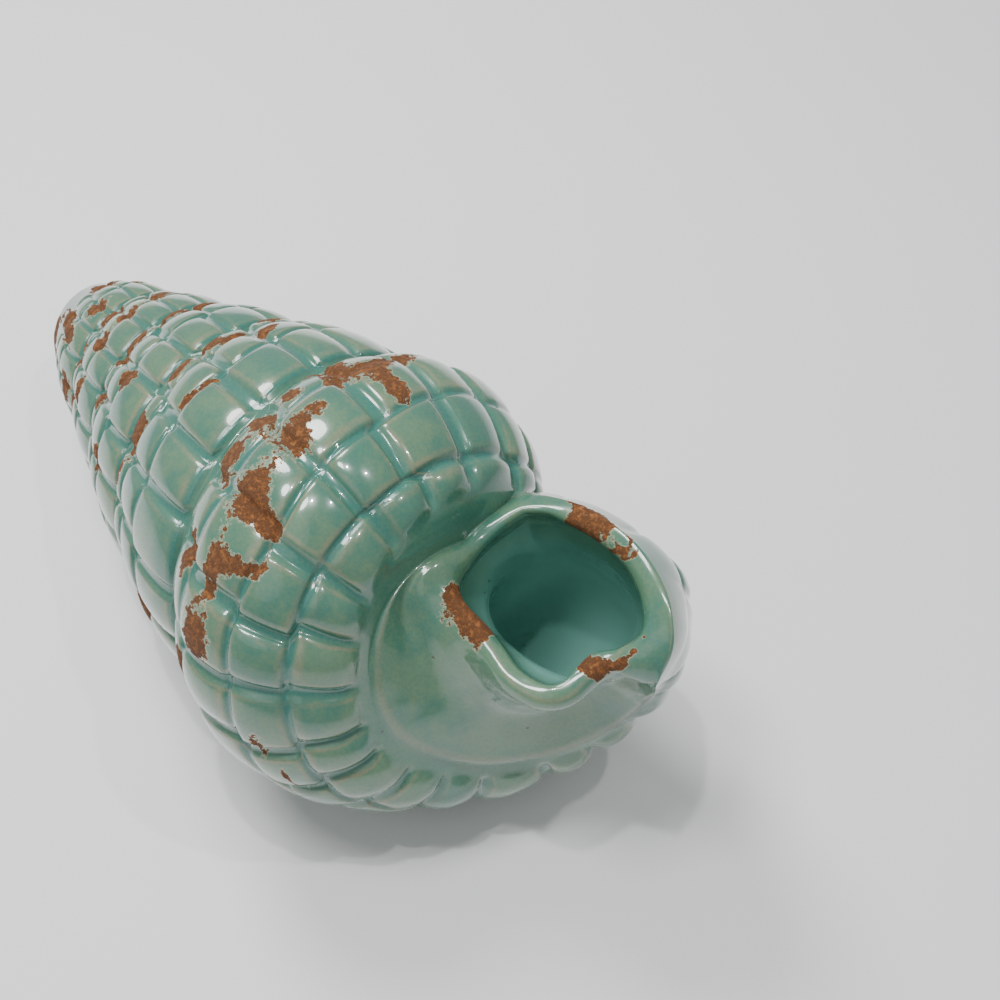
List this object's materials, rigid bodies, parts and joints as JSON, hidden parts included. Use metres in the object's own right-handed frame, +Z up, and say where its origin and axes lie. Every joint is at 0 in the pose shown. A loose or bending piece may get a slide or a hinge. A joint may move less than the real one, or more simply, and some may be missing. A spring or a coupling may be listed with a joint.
{
  "type": "ceramic ribbed spiral shell ornament",
  "caption": "Glazed ceramic whelk-like sea shell: a tapering ribbed spire, a swollen last whorl, a smooth basin at its base and a hollow mouth with a thick rolled lip",
  "frame": {"origin": "centre of the bounding box at floor level, with the shell lying at rest", "axes": "+X runs along the shell from its apex towards its base, +Z is up, +Y completes a right-handed frame; the mouth faces up and towards +X"},
  "size_m": [0.283, 0.132, 0.1319],
  "materials": {
    "glaze": "glossy clear-coated ceramic glaze, sage green on the raised ribs, turquoise where it pools in the grooves, with small matt rust-brown chips"
  },
  "bodies": {
    "root": {"shell": "glaze"}
  },
  "joints": []
}
